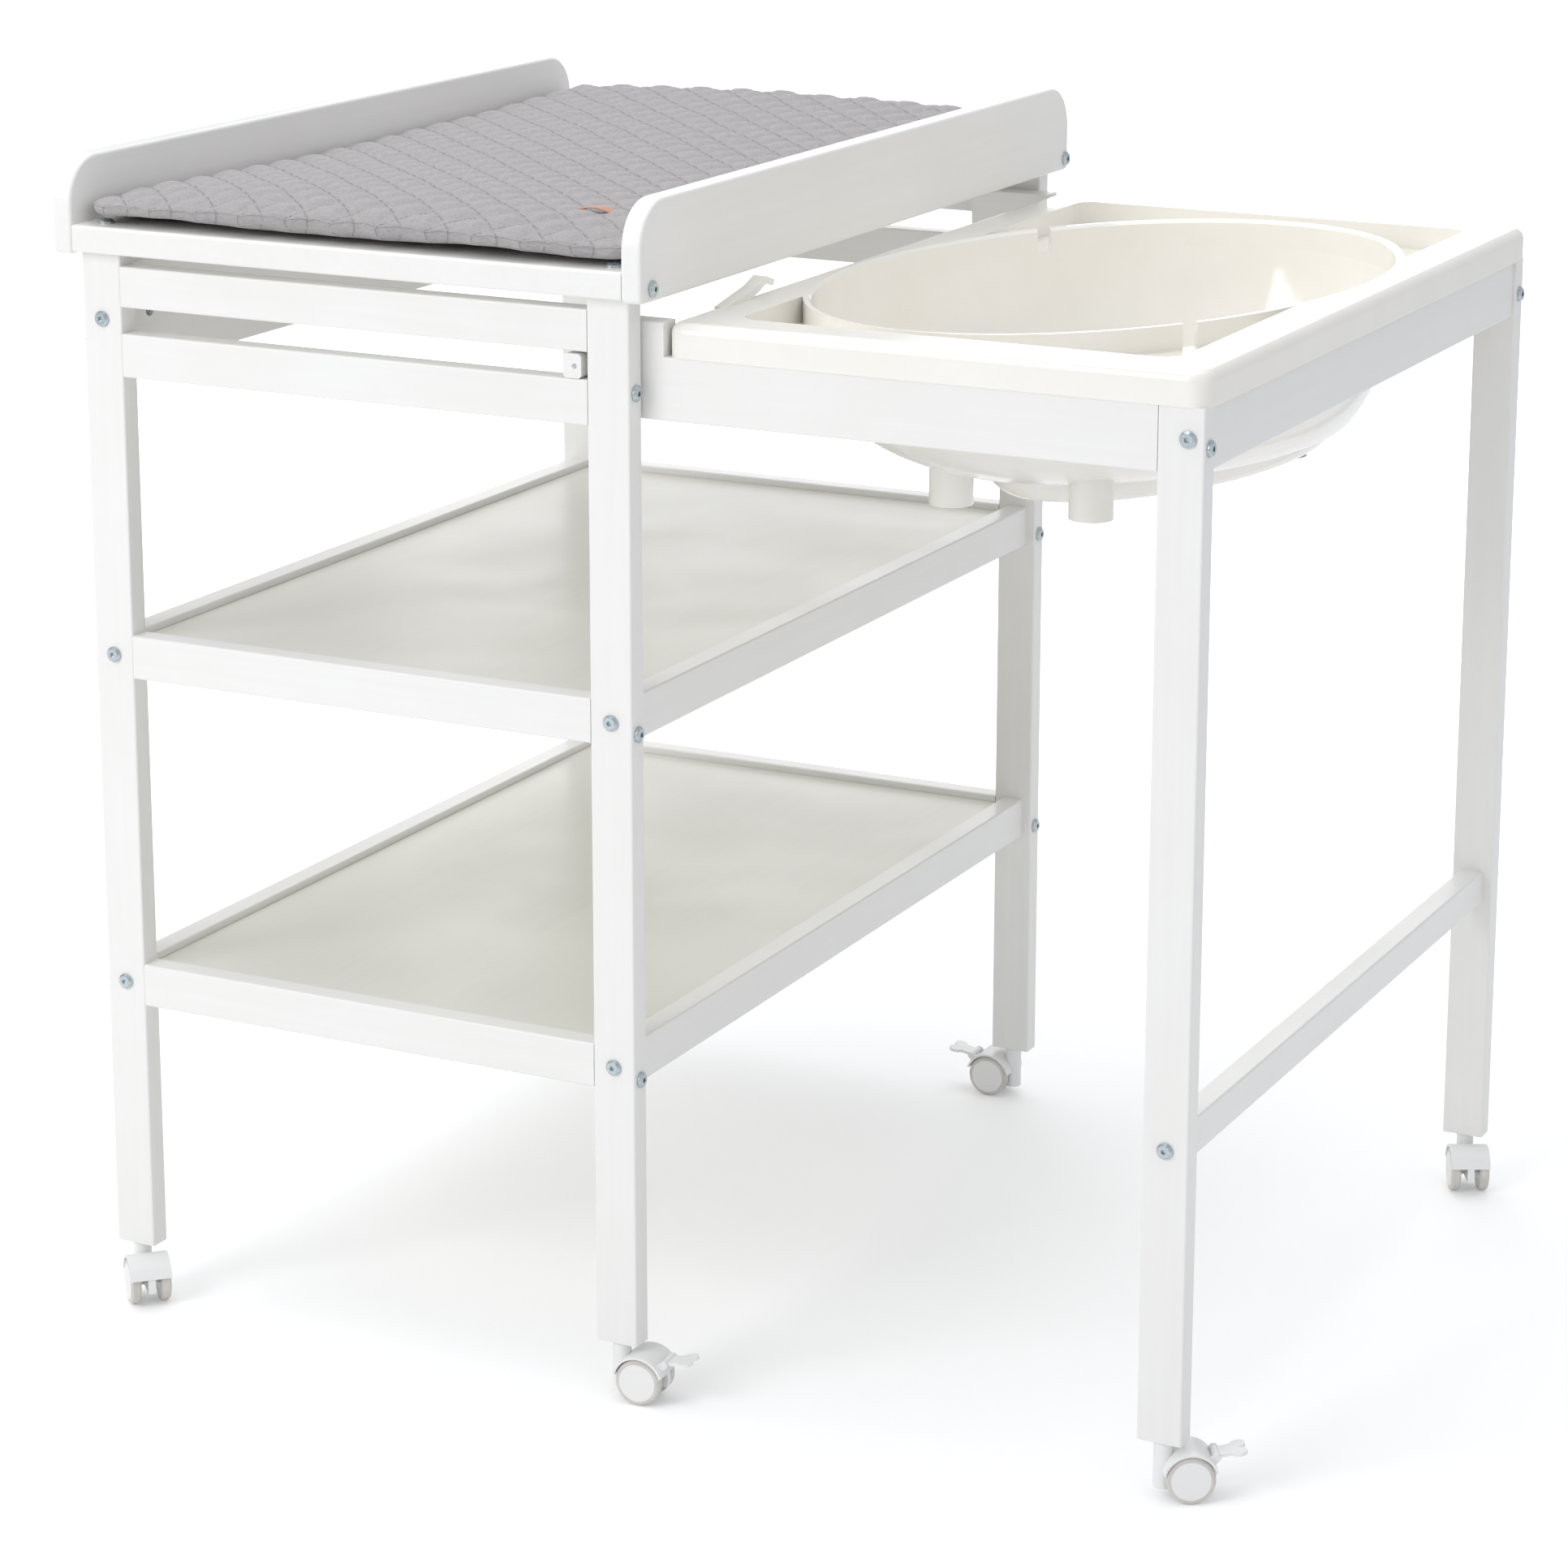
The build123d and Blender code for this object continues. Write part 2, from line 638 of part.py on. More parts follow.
def drain():
    # The drain fitting in the pan's floor, and its plug
    x, y = in_basin(drain_across, drain_along)
    floor = rim_top - pan_layers[-1][0]
    under = floor - tub_wall
    fitting = rod((x, y, under - drain_drop), (0, 0, 1), drain_flange, drain_drop)
    fitting = fitting + rod((x, y, under), (0, 0, 1), drain_neck, tub_wall + drain_rim)
    fitting = fitting + rod((x, y, floor + dowel_play), (0, 0, 1), drain_rim_radius, drain_rim)
    parts["drain_fitting"] = fitting - rod((x, y, under - drain_drop - overrun), (0, 0, 1), drain_bore, 2 * drain_flange)
    seat = floor + dowel_play + drain_rim + seat_gap
    plug = rod((x, y, seat - plug_stem_tall), (0, 0, 1), plug_stem, plug_stem_tall)
    plug = plug + rod((x, y, seat), (0, 0, 1), plug_head, plug_head_tall)
    plug = plug + rod((x, y, seat + plug_head_tall), (0, 0, 1), plug_knob, plug_knob_tall)
    parts["drain_plug"] = plug


def pad_column_shares():
    # How far across the pad each column of its top lies
    return [step / pad_columns for step in range(pad_columns + 1)]


def pad_rise(station, column):
    # Height of the pad's top over the changing top, with the quilting's channels
    share = column / pad_columns
    crown = pad_crown * 4 * share * (1 - share)
    ends = (0, len(pad_stations) - 1)
    if station in ends:
        return pad_tops[station] + crown / 2
    channel = pad_channel * ((station + column) % 2)
    return pad_tops[station] + crown - channel


def pad_section(station):
    # One cross section of the pad: a flat base, drawn-in sides and a quilted top
    end = station in (0, len(pad_stations) - 1)
    side = pad_end_side if end else 0.0
    left = pad_left + side
    right = pad_right - side
    y = pad_stations[station]
    low = top_high + pad_bottoms[station]
    points = [(left + pad_side, y, low)]
    edge = (pad_bottoms[station] + pad_tops[station]) / 2
    points.append((left, y, top_high + edge))
    inner_left = left + pad_side
    inner_right = right - pad_side
    for column, share in enumerate(pad_column_shares()):
        x = inner_left + share * (inner_right - inner_left)
        points.append((x, y, top_high + pad_rise(station, column)))
    points.append((right, y, top_high + edge))
    points.append((right - pad_side, y, low))
    return make_face(Polyline(*points, close=True))


def pad_height(x, y):
    # Height of the pad's quilted top over the changing top, between its sections
    start = pad_left + pad_side
    share = (x - start) / (pad_right - pad_side - start) * pad_columns
    column = int(share)
    station = max(index for index, place in enumerate(pad_stations) if place <= y)
    ahead = (y - pad_stations[station]) / (pad_stations[station + 1] - pad_stations[station])
    aside = share - column
    near = pad_rise(station, column) * (1 - aside) + pad_rise(station, column + 1) * aside
    far = pad_rise(station + 1, column) * (1 - aside) + pad_rise(station + 1, column + 1) * aside
    return near * (1 - ahead) + far * ahead


def pad():
    # The quilted pad and the leather tag that lies on it
    sections = [pad_section(station) for station in range(len(pad_stations))]
    parts["changing_pad"] = loft(sections, ruled=True)
    rises = []
    for step in range(pad_columns):
        x = tag_left + tag_long * step / (pad_columns - 1)
        rises += [pad_height(x, tag_front), pad_height(x, tag_front + tag_wide)]
    z = top_high + max(rises) + thread_play
    tag = block((tag_left, tag_front, z), (tag_left + tag_long, tag_front + tag_wide, z + tag_thick))
    parts["pad_tag"] = fillet(tag.edges().filter_by(Axis.Z), tag_wide / 4)


def polar(radius, degrees):
    # A point round the wheel's axle, in the caster's own X and Z
    angle = math.radians(degrees)
    return caster_trail + radius * math.cos(angle), wheel_radius + radius * math.sin(angle)


def across(x, z, half, radius):
    # A cylinder along Y through a point, reaching as far to both sides
    return rod((x, -half, z), (0, 1, 0), radius, 2 * half)


def hood(braked):
    # The caster's hood over both wheels
    inner = wheel_radius + hood_gap
    outer = inner + hood_thick
    ring = across(caster_trail, wheel_radius, hood_half, outer)
    ring = ring - across(caster_trail, wheel_radius, hood_half + overrun, inner)
    steps = 5
    points = [(caster_trail, 0, wheel_radius)]
    for step in range(steps + 1):
        x, z = polar(2 * outer, hood_from + (hood_to - hood_from) * step / steps)
        points.append((x, 0, z))
    wedge = extrude(make_face(Polyline(*points, close=True)), hood_half + overrun, dir=(0, 1, 0), both=True)
    shell = ring & wedge
    plate = across(caster_trail, wheel_radius, web_half, inner + hood_thick / 2)
    keep = block((caster_trail - outer, -hood_half, wheel_radius - boss_radius),
                 (caster_trail + outer, hood_half, wheel_radius + outer))
    shell = shell + (plate & keep)
    if braked:
        x, z = polar(pivot_reach, pivot_angle)
        root_x, root_z = polar(inner + hood_thick / 2, pivot_angle)
        for side in (-1, 1):
            middle = side * (lever_half + lug_gap + lug_thick / 2)
            lug = rod((x, middle - lug_thick / 2, z), (0, 1, 0), lug_radius, lug_thick)
            length = math.hypot(x - root_x, z - root_z)
            arm = Box(length, lug_thick, 2 * lug_radius)
            arm = Pos((x + root_x) / 2, middle, (z + root_z) / 2) * Rot(0, -pivot_angle, 0) * arm
            shell = shell + lug + arm
        shell = shell - across(x, z, hood_half, pivot_radius + pivot_play)
    return shell


def caster_housing(braked):
    # Stem, housing, web and hood of one caster, with the stem on the Z axis
    top = leg_foot - socket_flange_thick - collar_gap
    post = rod((0, 0, housing_low), (0, 0, 1), housing_radius, top - housing_low)
    stem = rod((0, 0, housing_low), (0, 0, 1), stem_radius, leg_foot + stem_tall - overrun - housing_low)
    solid = post + stem + hood(braked)
    return solid - across(caster_trail, wheel_radius, hood_half, axle_radius + axle_play)


def caster_wheels():
    # Two wheels on one axle
    solid = across(caster_trail, wheel_radius, wheel_outer, axle_radius)
    for side in (-1, 1):
        inner = side * wheel_inner
        wheel = rod((caster_trail, inner, wheel_radius), (0, side, 0), wheel_radius, wheel_outer - wheel_inner)
        wheel = chamfer(wheel.edges(), wheel_round)
        cover = rod((caster_trail, inner, wheel_radius), (0, side, 0), cover_radius, wheel_outer - wheel_inner + cover_proud)
        solid = solid + wheel + cover
    return solid


def caster_lever():
    # The brake lever: a hub on its pin, with a tongue that ends in two lobes
    x, z = polar(pivot_reach, pivot_angle)
    solid = across(x, z, lever_half, lever_hub)
    solid = solid + across(x, z, lever_half + lug_gap + lug_thick, pivot_radius)
    tongue = Box(lever_reach, 2 * lever_half, lever_thick, align=(Align.MIN, Align.CENTER, Align.CENTER))
    for side in (-1, 1):
        lobe = Pos(lever_reach, side * lobe_spread, 0) * Cylinder(lobe_radius, lever_thick)
        tongue = tongue + lobe
    return solid + Pos(x, 0, z) * Rot(0, -lever_rise, 0) * tongue


def casters():
    # All six casters, each turned as it stands
    for name, (frame, side, end, angle, braked) in caster_plan.items():
        x, y = stem_place(frame, side, end)
        place = Pos(x, y, 0) * Rot(0, 0, angle)
        parts[f"caster_housing_{name}"] = place * caster_housing(braked)
        parts[f"caster_wheels_{name}"] = place * caster_wheels()
        if braked:
            parts[f"brake_lever_{name}"] = place * caster_lever()


stand()
carriage()
parts["bathtub"] = bathtub()
drain()
pad()
casters()

# The origin goes under the middle of the whole object, on the floor
boxes = [shape.bounding_box() for shape in parts.values()]
middle_x = (min(box.min.X for box in boxes) + max(box.max.X for box in boxes)) / 2
middle_y = (min(box.min.Y for box in boxes) + max(box.max.Y for box in boxes)) / 2
floor_z = min(box.min.Z for box in boxes)
print("shift", -middle_x, -middle_y, -floor_z)
os.makedirs("parts", exist_ok=True)
for name, shape in parts.items():
    export_step(Pos(-middle_x, -middle_y, -floor_z) * shape, f"parts/{name}.step")
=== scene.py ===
import json
import math

import bpy
from mathutils import Matrix, Vector, noise


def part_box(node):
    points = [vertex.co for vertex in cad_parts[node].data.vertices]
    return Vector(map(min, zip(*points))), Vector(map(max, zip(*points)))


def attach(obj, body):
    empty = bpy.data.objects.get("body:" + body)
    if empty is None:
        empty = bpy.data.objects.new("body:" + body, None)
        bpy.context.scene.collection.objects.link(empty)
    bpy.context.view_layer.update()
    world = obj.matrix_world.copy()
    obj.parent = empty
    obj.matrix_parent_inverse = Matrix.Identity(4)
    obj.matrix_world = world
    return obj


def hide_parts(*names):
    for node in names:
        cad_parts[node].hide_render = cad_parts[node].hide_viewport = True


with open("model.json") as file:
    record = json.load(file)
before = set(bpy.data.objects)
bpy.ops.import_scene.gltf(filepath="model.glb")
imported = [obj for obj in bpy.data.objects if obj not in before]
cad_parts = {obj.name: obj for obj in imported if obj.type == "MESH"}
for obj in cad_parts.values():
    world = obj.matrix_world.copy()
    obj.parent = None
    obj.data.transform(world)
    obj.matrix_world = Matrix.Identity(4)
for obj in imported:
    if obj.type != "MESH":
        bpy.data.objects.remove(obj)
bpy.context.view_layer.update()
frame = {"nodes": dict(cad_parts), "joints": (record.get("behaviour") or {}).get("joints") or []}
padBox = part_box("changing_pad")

nodes = frame["nodes"]

# Changing table with a slide-out bathtub, lengths in metres

photoSize = 1932
camera = {
    "place": (1.5845, -3.2477, 1.4713),
    "turn": (76.544, -0.127, 26.494),
    "focal": 5336.5,
    "middle": (1000, 700),
    "sensor": 36.0,
}
pad = {
    "pitch": 0.043,
    "cells": 12,
    "columns": 138,
    "rows": 222,
    "seam": 0.0095,
    "edge": 0.044,
    "power": 2.0,
    "puff": 0.0032,
    "scallop": 0.0022,
    "corner": 0.018,
    "frames": 20,
    "pressure": 3.0,
    "grow": -0.035,
    "mostMove": 0.005,
    "foldTall": 0.0026,
    "foldPace": 0.077,
    "foldFrom": 0.0015,
    "turnedEdge": 0.03,
    "sideSwell": 0.0009,
    "sidePace": 0.19,
    "cordRadius": 0.0008,
    "cordDrop": 0.0002,
    "fill": 0.7,
    "stitchWide": (0.0004, 0.0011),
    "stitchPitch": 0.0028,
    "stitchDash": (0.0009, 0.0014),
    # Width of the painted shade band along the sunken quilting lines
    "ditchWide": 0.0022,
}
# Rings of the pad's side below its seam: how far each is drawn in, and its share of the way down
padRings = ((-0.0008, 0.22), (0.0002, 0.55), (0.004, 0.86), (0.012, 1.0), (0.05, 1.0))
tag = {"thick": 0.0011, "steps": 24, "lift": 0.0028, "gap": 0.0002, "droop": 0.0008, "round": 0.0003}
# The wheel's running ring starts between these radii
wheelTread = (0.0156, 0.0160)
lipRound = 0.0022
lipAngle = 42
floorReach = 14.0
floorDrop = 0.0005
# Each lamp's place, the point that it is aimed at, its width and its power
lamps = {
    "key": ((-1.6, -3.6, 2.6), (0.0, 0.0, 0.5), 2.2, 59),
    "fill": ((4.2, -1.2, 2.0), (0.2, 0.0, 0.5), 2.4, 5),
    "top": ((-0.4, 0.2, 3.6), (0.0, 0.0, 0.5), 3.0, 45),
    "back": ((-1.5, 3.8, 2.0), (0.0, 0.0, 0.6), 2.4, 20),
}
# The pad's thickness over the board at places along its depth, from the near edge
padProfile = ((0.0, 0.0185), (0.03, 0.0205), (0.07, 0.0225), (0.15, 0.0205), (0.28, 0.0175), (0.42, 0.0175),
              (0.56, 0.0195), (0.68, 0.0225), (0.76, 0.0265), (0.81, 0.0265))
# How high the pad's underside lies over the board along its depth, where it rides over the bolt heads
padLift = ((0.0, 0.0050), (0.026, 0.0041), (0.06, 0.0005), (0.74, 0.0005), (0.78, 0.0041), (0.81, 0.0070))
padCrown = 0.0085


def hexColour(code):
    # Linear colour from an sRGB hex code
    values = [int(code[i:i + 2], 16) / 255 for i in (0, 2, 4)]
    return tuple(v / 12.92 if v <= 0.04045 else ((v + 0.055) / 1.055) ** 2.4 for v in values) + (1.0,)


def addNode(tree, kind, inputs=None, **settings):
    # A shader or geometry node with its settings, and its inputs set or linked
    node = tree.nodes.new(kind)
    for key, value in settings.items():
        setattr(node, key, value)
    for key, value in (inputs or {}).items():
        if isinstance(value, bpy.types.NodeSocket):
            tree.links.new(value, node.inputs[key])
        else:
            node.inputs[key].default_value = value
    return node


def newMaterial(name, colour, roughness, **sockets):
    # A material with its surface shader, and the shader's constants set on it
    material = bpy.data.materials.new(name)
    material.use_nodes = True
    tree = material.node_tree
    shader = tree.nodes["Principled BSDF"]
    shader.inputs["Base Color"].default_value = hexColour(colour)
    shader.inputs["Roughness"].default_value = roughness
    for key, value in sockets.items():
        shader.inputs[key.replace("_", " ")].default_value = value
    return material, tree, shader


def objectPlace(tree, scale=(1, 1, 1)):
    # The surface point in the object's own frame, stretched
    place = addNode(tree, "ShaderNodeTexCoord")
    mapping = addNode(tree, "ShaderNodeMapping", {"Vector": place.outputs["Object"], "Scale": scale})
    return mapping.outputs["Vector"]


def noiseOf(tree, vector, scale, detail=3.0, roughness=0.55):
    # A noise value over the surface
    made = addNode(tree, "ShaderNodeTexNoise",
                   {"Vector": vector, "Scale": scale, "Detail": detail, "Roughness": roughness})
    return made.outputs["Fac"]


def mixColour(tree, factor, first, second):
    # A mix of two colours, each a hex code or a socket
    mix = addNode(tree, "ShaderNodeMix", data_type="RGBA")
    tree.links.new(factor, mix.inputs["Factor"])
    for key, value in ((6, first), (7, second)):
        if isinstance(value, str):
            mix.inputs[key].default_value = hexColour(value)
        else:
            tree.links.new(value, mix.inputs[key])
    return mix.outputs[2]


def math2(tree, operation, first, second):
    # One step of arithmetic on two values or sockets
    return addNode(tree, "ShaderNodeMath", {0: first, 1: second}, operation=operation).outputs[0]


def mapRange(tree, value, low, high, toLow=0.0, toHigh=1.0):
    # A value mapped from one range to another, clamped
    made = addNode(tree, "ShaderNodeMapRange",
                   {"Value": value, "From Min": low, "From Max": high, "To Min": toLow, "To Max": toHigh})
    return made.outputs["Result"]


def addBump(tree, shader, height, distance, strength=1.0, before=None):
    # A bump on the shader's normal, over an earlier one if there is one
    inputs = {"Height": height, "Distance": distance, "Strength": strength}
    if before is not None:
        inputs["Normal"] = before
    bump = addNode(tree, "ShaderNodeBump", inputs)
    tree.links.new(bump.outputs["Normal"], shader.inputs["Normal"])
    return bump.outputs["Normal"]


def lacquer(name, grain, light, dark):
    # White lacquer over solid wood, with the grain just showing through along one axis
    material, tree, shader = newMaterial(name, light, 0.34, Coat_Weight=0.18, Coat_Roughness=0.2)
    stretch = [150.0, 150.0, 150.0]
    stretch[grain] = 5.0
    fibre = noiseOf(tree, objectPlace(tree, stretch), 1.0, 4.0)
    cloud = noiseOf(tree, objectPlace(tree), 9.0, 2.0)
    tone = mapRange(tree, math2(tree, "MULTIPLY", fibre, cloud), 0.15, 0.42)
    tree.links.new(mixColour(tree, tone, dark, light), shader.inputs["Base Color"])
    tree.links.new(mapRange(tree, cloud, 0.3, 0.7, 0.3, 0.42), shader.inputs["Roughness"])
    first = addBump(tree, shader, fibre, 0.0001, 0.16)
    peel = noiseOf(tree, objectPlace(tree), 420.0, 2.0)
    addBump(tree, shader, peel, 0.00008, 0.3, first)
    return material


def moulded(name, light, dark, roughness, coat, grainScale=900.0, bump=0.00004):
    # A moulded plastic with a faint unevenness of tone and surface
    coating = {"Coat_Weight": coat, "Coat_Roughness": 0.08, "IOR": 1.5}
    material, tree, shader = newMaterial(name, light, roughness, **coating)
    cloud = noiseOf(tree, objectPlace(tree), 14.0, 3.0)
    tree.links.new(mixColour(tree, mapRange(tree, cloud, 0.3, 0.7), dark, light), shader.inputs["Base Color"])
    dullness = mapRange(tree, cloud, 0.25, 0.75, roughness * 0.85, roughness * 1.2)
    tree.links.new(dullness, shader.inputs["Roughness"])
    wave = addBump(tree, shader, noiseOf(tree, objectPlace(tree), 22.0, 1.0), 0.0004, 0.12)
    addBump(tree, shader, noiseOf(tree, objectPlace(tree), grainScale, 2.0), bump, 0.5, wave)
    return material


def zinc():
    # Bright zinc plating, brushed by tumbling, with a bluish cast
    material, tree, shader = newMaterial("zincPlating", "B9C4C8", 0.28, Metallic=1.0)
    fine = noiseOf(tree, objectPlace(tree), 700.0, 3.0)
    tree.links.new(mixColour(tree, fine, "9FAEB4", "DDE4E6"), shader.inputs["Base Color"])
    tree.links.new(mapRange(tree, fine, 0.3, 0.7, 0.2, 0.38), shader.inputs["Roughness"])
    addBump(tree, shader, noiseOf(tree, objectPlace(tree), 1800.0, 2.0), 0.00003, 0.5)
    return material


def beech():
    # Bare beech, for the dowels
    material, tree, shader = newMaterial("bareBeech", "D2A877", 0.6)
    fibre = noiseOf(tree, objectPlace(tree, (20, 400, 400)), 1.0, 4.0)
    tree.links.new(mixColour(tree, fibre, "B98B5C", "DDB88A"), shader.inputs["Base Color"])
    addBump(tree, shader, fibre, 0.0001, 0.5)
    return material


def quilting():
    # Light grey woven cotton with dotted quilting stitches along both diagonals, and painted shade darkening
    # a narrow band along the sunken quilting lines
    nap = {"Sheen_Weight": 0.25, "Sheen_Roughness": 0.5}
    material, tree, shader = newMaterial("quiltedCotton", "B4B0B1", 0.86, **nap)
    middle = [(a + b) / 2 for a, b in zip(*padBox)]
    place = addNode(tree, "ShaderNodeTexCoord")
    split = addNode(tree, "ShaderNodeSeparateXYZ", {"Vector": place.outputs["Object"]})
    x = math2(tree, "SUBTRACT", split.outputs["X"], middle[0])
    y = math2(tree, "SUBTRACT", split.outputs["Y"], middle[1])
    total = math2(tree, "ADD", x, y)
    gap = math2(tree, "SUBTRACT", x, y)
    half = pad["pitch"] / 2
    masks = []
    for across, along in ((total, gap), (gap, total)):
        far = math2(tree, "PINGPONG", across, half)
        line = mapRange(tree, far, *pad["stitchWide"], 1.0, 0.0)
        dash = mapRange(tree, math2(tree, "PINGPONG", along, pad["stitchPitch"]), *pad["stitchDash"])
        masks.append(math2(tree, "MULTIPLY", line, dash))
        creaseShade = mapRange(tree, far, 0.0, pad["ditchWide"], 1.0, 0.0)
        masks.append(creaseShade)
    stitch = math2(tree, "MAXIMUM", masks[0], masks[2])
    creaseShade = math2(tree, "MAXIMUM", masks[1], masks[3])
    yarn = noiseOf(tree, objectPlace(tree, (90, 1400, 900)), 1.0, 3.0)
    crossYarn = noiseOf(tree, objectPlace(tree, (1400, 90, 900)), 1.0, 3.0)
    melange = math2(tree, "MULTIPLY", math2(tree, "ADD", yarn, crossYarn), 0.5)
    base = mixColour(tree, mapRange(tree, melange, 0.36, 0.62), "9A9697", "B2ADAD")
    # Painted shade: the cotton is darkened along the sunken quilting lines, where shade falls
    base = mixColour(tree, math2(tree, "MULTIPLY", creaseShade, 0.08), base, "8A8586")
    base = mixColour(tree, math2(tree, "MULTIPLY", stitch, 0.34), base, "7A7577")
    tree.links.new(base, shader.inputs["Base Color"])
    creases = noiseOf(tree, objectPlace(tree, (1.0, 1.6, 1.0)), 75.0, 4.0, 0.62)
    first = addBump(tree, shader, creases, 0.0016, 0.55)
    second = addBump(tree, shader, math2(tree, "SUBTRACT", 1.0, stitch), 0.0007, 0.8, first)
    threads = []
    for direction in "XY":
        inputs = {"Vector": objectPlace(tree), "Scale": 560.0, "Distortion": 1.2}
        thread = addNode(tree, "ShaderNodeTexWave", inputs, wave_type="BANDS", bands_direction=direction)
        threads.append(thread.outputs["Fac"])
    cloth = math2(tree, "MULTIPLY", *threads)
    addBump(tree, shader, cloth, 0.00012, 0.6, second)
    return material


def leather():
    # Smooth light brown leather
    material, tree, shader = newMaterial("copperLeather", "C08A73", 0.5)
    pores = addNode(tree, "ShaderNodeTexVoronoi", {"Vector": objectPlace(tree), "Scale": 1500.0})
    cloud = noiseOf(tree, objectPlace(tree), 160.0, 3.0)
    tree.links.new(mixColour(tree, cloud, "A8705A", "D09C86"), shader.inputs["Base Color"])
    addBump(tree, shader, pores.outputs["Distance"], 0.00012, 0.5)
    return material


def wheelPlastic(name, centre, axis):
    # White plastic whose running tread, outside the cover disc, is a softer and greyer ring
    material, tree, shader = newMaterial(name, "F1F0EE", 0.38, Coat_Weight=0.1)
    place = addNode(tree, "ShaderNodeTexCoord")
    ends = {0: place.outputs["Object"], 1: centre}
    offset = addNode(tree, "ShaderNodeVectorMath", ends, operation="SUBTRACT")
    sides = {0: offset.outputs[0], 1: axis}
    across = addNode(tree, "ShaderNodeVectorMath", sides, operation="CROSS_PRODUCT")
    radius = addNode(tree, "ShaderNodeVectorMath", {0: across.outputs[0]}, operation="LENGTH")
    ring = mapRange(tree, radius.outputs["Value"], *wheelTread)
    cloud = noiseOf(tree, objectPlace(tree), 60.0, 3.0)
    worn = mixColour(tree, mapRange(tree, cloud, 0.3, 0.7), "CFCAC2", "DEDAD4")
    tree.links.new(mixColour(tree, ring, "F3F2F0", worn), shader.inputs["Base Color"])
    tree.links.new(mapRange(tree, ring, 0.0, 1.0, 0.34, 0.6), shader.inputs["Roughness"])
    addBump(tree, shader, noiseOf(tree, objectPlace(tree), 800.0, 2.0), 0.00006, 0.4)
    return material


def interpolate(table, value):
    # The value of a table of points at a place along it
    for (a, first), (b, second) in zip(table, table[1:]):
        if value <= b:
            share = max(0.0, (value - a) / (b - a))
            share = share * share * (3 - 2 * share)
            return first + (second - first) * share
    return table[-1][1]


def useMaterial(obj, material):
    # The object shows one material only
    obj.data.materials.clear()
    obj.data.materials.append(material)


def meshObject(name, verts, faces, material, smooth=True):
    # A mesh piece at the origin
    mesh = bpy.data.meshes.new(name)
    mesh.from_pydata(verts, [], faces)
    mesh.update()
    obj = bpy.data.objects.new(name, mesh)
    bpy.context.collection.objects.link(obj)
    for polygon in mesh.polygons:
        polygon.use_smooth = smooth
    useMaterial(obj, material)
    return obj


def applied(obj):
    # The object with its modifiers made real
    graph = bpy.context.evaluated_depsgraph_get()
    mesh = bpy.data.meshes.new_from_object(obj.evaluated_get(graph))
    obj.modifiers.clear()
    obj.data = mesh
    return obj


def dressNodes():
    # Every carried-over node gets its material, the panels a darker beige copy of the white lacquer as
    # painted shade
    white = [lacquer(f"whiteLacquer{letter}", axis, "F2F1EE", "EFEEEA") for axis, letter in enumerate("XYZ")]
    # Painted shade: the panels share the white lacquer but are darker and beige, as they look in shadow
    panel = lacquer("panelLacquer", 1, "E6E4DA", "E3E1D6")
    tub = moulded("creamMoulding", "F9F6EF", "F5F2E9", 0.14, 0.5)
    caster = moulded("casterPlastic", "F5F5F4", "F1F1EF", 0.36, 0.1)
    socket = moulded("socketPlastic", "EDEDEB", "E6E6E3", 0.45, 0.0)
    grey = moulded("drainPlastic", "A3A7AA", "989CA0", 0.35, 0.1)
    rubber = moulded("plugRubber", "9B9FA3", "8E9296", 0.7, 0.0, 500.0, 0.0001)
    metal = zinc()
    wood = beech()
    for name, obj in nodes.items():
        if name == "bathtub":
            material = tub
        elif name == "drain_fitting":
            material = grey
        elif name == "drain_plug":
            material = rubber
        elif name.startswith("caster_wheels"):
            joint = wheelJoint(name)
            corner = name[len("caster_wheels_"):].title().replace("_", "")
            material = wheelPlastic("wheel" + corner, joint["pos_m"], joint["axis"])
        elif name.startswith(("caster_housing", "brake_lever")):
            material = caster
        elif name.endswith("sockets"):
            material = socket
        elif name.endswith(("bolts", "nuts")):
            material = metal
        elif name.endswith("dowels"):
            material = wood
        elif name.endswith("panel"):
            # Darker lacquer on the panels stands in for the shade they lie in
            material = panel
        elif "leg" in name:
            material = white[2]
        elif "end_rail_" in name or name.endswith(("rail_front", "rail_back")):
            material = white[0]
        else:
            material = white[1]
        useMaterial(obj, material)


def wheelJoint(name):
    # The rolling joint of a caster's wheels
    wanted = "roll_" + name[len("caster_wheels_"):]
    return next(joint for joint in frame["joints"] if joint["name"] == wanted)


def padOutline(column, row):
    # Plan place of a grid point of the pad, drawn in at the stitched edges and rounded at the corners
    low, high = padBox
    step = pad["pitch"] / pad["cells"]
    a = column - pad["columns"] / 2
    b = row - pad["rows"] / 2
    x = a * step
    y = b * step
    halfX = pad["columns"] * step / 2
    halfY = pad["rows"] * step / 2
    nearX = max(0.0, abs(x) - (halfX - pad["corner"])) / pad["corner"]
    nearY = max(0.0, abs(y) - (halfY - pad["corner"])) / pad["corner"]
    squeeze = 1.0
    if nearX > 0 and nearY > 0:
        reach = math.hypot(nearX, nearY)
        squeeze = max(nearX, nearY) / reach
    x = math.copysign(min(abs(x), halfX - pad["corner"]) + nearX * squeeze * pad["corner"], x)
    y = math.copysign(min(abs(y), halfY - pad["corner"]) + nearY * squeeze * pad["corner"], y)
    wave = 0.5 - 0.5 * math.cos(math.pi * (a + b) / pad["cells"] * 2)
    pull = pad["scallop"] * (1 - wave)
    x -= math.copysign(pull * nearX ** 2, x) if nearX > 0 else 0.0
    y -= math.copysign(pull * nearY ** 2, y) if nearY > 0 else 0.0
    return (low[0] + high[0]) / 2 + x, (low[1] + high[1]) / 2 + y


def quiltPuff(column, row):
    # How far the quilted cover swells at a grid point, from 0 on a stitch line to 1
    a = column - pad["columns"] / 2
    b = row - pad["rows"] / 2
    first = abs(math.sin(math.pi * (a + b) / pad["cells"]))
    second = abs(math.sin(math.pi * (a - b) / pad["cells"]))
    return (first * second) ** 0.55


